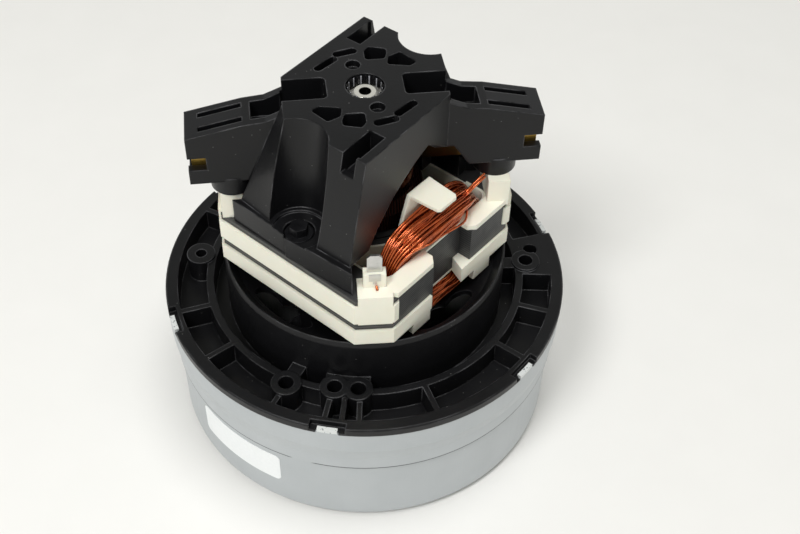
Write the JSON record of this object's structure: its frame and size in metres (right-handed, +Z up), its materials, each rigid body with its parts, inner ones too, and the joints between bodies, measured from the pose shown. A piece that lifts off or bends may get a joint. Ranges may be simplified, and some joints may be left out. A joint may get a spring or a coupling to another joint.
{
  "type": "vacuum motor",
  "caption": "Two-stage bypass vacuum cleaner motor: grey fan housing, black brackets, copper field coils, brush arms and a spinning rotor.",
  "frame": {"origin": "on the shaft line at the underside of the lower shell", "axes": "+Z up along the shaft, X along the two brush arms, field poles at -45 and 135 degrees"},
  "size_m": [0.1448, 0.1448, 0.1398],
  "materials": {
    "black_moulding": "satin moulded thermoset",
    "black_casting": "satin black",
    "shell_steel": "satin grey",
    "label": "matt, blank",
    "bright_steel": "plated",
    "fan_sheet": "rolled sheet",
    "ground_steel": "ground",
    "core_steel": "punched sheets, dark grey edges",
    "copper": "enamelled copper wire",
    "fibre": "plain",
    "ivory": "matt moulded",
    "tinned": "tin plated",
    "dark_screw": "black oxide",
    "brass": "rolled sheet",
    "carbon": "pressed carbon"
  },
  "bodies": {
    "motor": {"commutator_bracket": "black_moulding", "fan_end_bracket": "black_casting", "upper_shell": "shell_steel", "lower_shell": "shell_steel", "blank_label": "label", "interstage_plate": "bright_steel", "return_guide": "fan_sheet", "lower_bearing_outer_ring": "ground_steel", "upper_bearing_outer_ring": "ground_steel", "bearing_wave_washer": "bright_steel", "bearing_retainer": "bright_steel", "stator_laminations": "core_steel", "lower_insulator": "ivory", "upper_insulator": "ivory", "field_terminals": "tinned", "brush_leads": "tinned", "field_coil_front": "copper", "field_coil_back": "copper", "bracket_screws": "dark_screw", "brush_box_right": "brass", "brush_spring_right": "bright_steel", "brush_box_left": "brass", "brush_spring_left": "bright_steel"},
    "rotor": {"shaft": "ground_steel", "shaft_nut": "bright_steel", "fan_washers": "bright_steel", "fan_spacer": "bright_steel", "bearing_spacer": "bright_steel", "first_stage_fan": "fan_sheet", "second_stage_fan": "fan_sheet", "lower_bearing_inner_ring": "ground_steel", "upper_bearing_inner_ring": "ground_steel", "armature_core": "core_steel", "armature_winding": "copper", "armature_insulators": "fibre", "commutator": "copper", "commutator_risers": "copper", "commutator_hub": "black_moulding"},
    "brush_right_body": {"brush_right": "carbon"},
    "brush_left_body": {"brush_left": "carbon"}
  },
  "joints": [
    {"name": "rotor_spin", "type": "hinge", "parent": "motor", "child": "rotor", "pos_m": [0, 0, 0.0525], "axis": [0, 0, 1], "continuous": true},
    {"name": "brush_right_slide", "type": "slide", "parent": "motor", "child": "brush_right_body", "axis": [1, 0, 0], "range_m": [0, 0.006], "stiffness_N_per_m": 60, "springref_m": -0.03, "deforming": ["brush_spring_right"]},
    {"name": "brush_left_slide", "type": "slide", "parent": "motor", "child": "brush_left_body", "axis": [-1, 0, 0], "range_m": [0, 0.006], "stiffness_N_per_m": 60, "springref_m": -0.03, "deforming": ["brush_spring_left"]}
  ]
}
